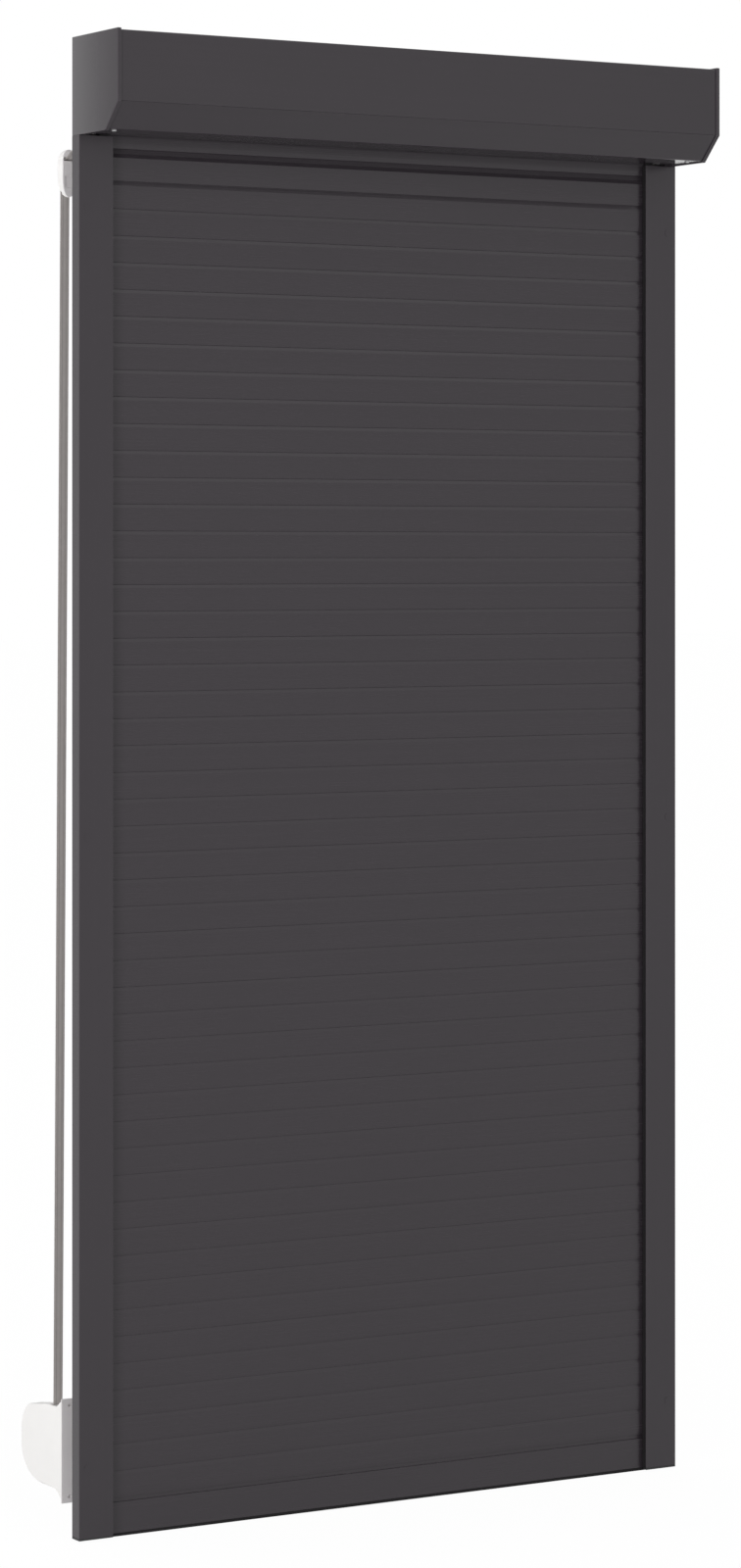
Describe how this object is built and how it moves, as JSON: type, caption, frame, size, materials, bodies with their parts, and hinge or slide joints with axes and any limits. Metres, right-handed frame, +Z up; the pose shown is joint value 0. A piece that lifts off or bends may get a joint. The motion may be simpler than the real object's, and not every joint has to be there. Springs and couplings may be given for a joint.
{
  "type": "exterior roller shutter",
  "caption": "Exterior window roller shutter: chamfered box, guide rails, interlocking slat curtain and an indoor strap winder that raises it.",
  "frame": {"origin": "centre of the rail fixing hole pattern on the rear mounting plane, midway between the rails", "axes": "+X across the window to the right seen from outdoors, +Y from outdoors to indoors, +Z up"},
  "size_m": [1, 0.327, 2.085],
  "materials": {
    "coated_aluminium": "satin powder coat, anthracite",
    "cap_aluminium": "satin powder coat, anthracite",
    "steel": "zinc plated",
    "galvanised_steel": "galvanised",
    "spring_steel": "oil-tempered",
    "black_plastic": "matt",
    "anthracite_plastic": "satin",
    "black_rubber": "matt",
    "white_plastic": "satin",
    "grey_plastic": "matt",
    "strap_webbing": "woven"
  },
  "bodies": {
    "frame": {"left_end_cap": "cap_aluminium", "right_end_cap": "cap_aluminium", "box_rear_panel": "coated_aluminium", "box_top_panel": "coated_aluminium", "box_access_panel": "coated_aluminium", "access_panel_screws": "steel", "bearing_holders": "black_plastic", "bearing_outer_rings": "steel", "bearing_balls": "steel", "left_rail": "coated_aluminium", "right_rail": "coated_aluminium", "left_rail_seals": "black_rubber", "right_rail_seals": "black_rubber", "left_rail_funnel": "black_plastic", "right_rail_funnel": "black_plastic", "rail_feet": "black_plastic", "rail_hole_caps": "anthracite_plastic", "strap_feed": "strap_webbing", "strap": "strap_webbing", "guide_base": "grey_plastic", "guide_cover": "white_plastic", "guide_axle": "steel", "winder_plate": "grey_plastic", "winder_left_shell": "white_plastic", "winder_right_shell": "white_plastic", "spool_spindle": "steel", "spiral_spring": "spring_steel", "brake_pin": "steel", "winder_screws": "steel"},
    "curtain": {"curtain_hangers": "galvanised_steel", "curtain_slats": "coated_aluminium", "slat_end_clips": "black_plastic", "lower_slats": "coated_aluminium", "bottom_bar": "coated_aluminium", "bottom_bar_seal": "black_rubber", "bar_end_glides": "black_plastic", "bar_stops": "black_rubber"},
    "shaft": {"roller_shaft": "galvanised_steel", "left_shaft_plug": "black_plastic", "right_shaft_plug": "black_plastic", "shaft_pins": "steel", "shaft_screws": "steel", "bearing_inner_rings": "steel", "strap_pulley": "black_plastic", "pulley_strap": "strap_webbing"},
    "guide_roller": {"guide_roller": "grey_plastic"},
    "spool": {"winder_spool": "grey_plastic", "spool_strap": "strap_webbing"},
    "brake": {"brake_flap": "black_plastic"}
  },
  "joints": [
    {"name": "curtain_lift", "type": "slide", "parent": "frame", "child": "curtain", "axis": [0, 0, 1], "range_m": [0, 1.865], "deforming": ["curtain_slats", "slat_end_clips", "curtain_hangers"]},
    {"name": "shaft_turn", "type": "hinge", "parent": "frame", "child": "shaft", "pos_m": [0, -0.0685, 1.0415], "axis": [1, 0, 0], "range_deg": [0, 2548]},
    {"name": "guide_roller_turn", "type": "hinge", "parent": "frame", "child": "guide_roller", "pos_m": [-0.4735, 0.0676, 0.9365], "axis": [1, 0, 0], "range_deg": [-14018, 0]},
    {"name": "spool_turn", "type": "hinge", "parent": "frame", "child": "spool", "pos_m": [-0.4735, 0.1245, -0.865], "axis": [1, 0, 0], "range_deg": [0, 2452], "deforming": ["spiral_spring"]},
    {"name": "brake_pivot", "type": "hinge", "parent": "frame", "child": "brake", "pos_m": [-0.4735, 0.1115, -0.815], "axis": [1, 0, 0], "range_deg": [-10, 0], "stiffness_Nm_per_rad": 0.01}
  ],
  "couplings": [
    {"joint": "shaft_turn", "follows": "curtain_lift", "rad_per_m": 23.8},
    {"joint": "guide_roller_turn", "follows": "curtain_lift", "rad_per_m": -131},
    {"joint": "spool_turn", "follows": "curtain_lift", "rad_per_m": 22.9}
  ]
}
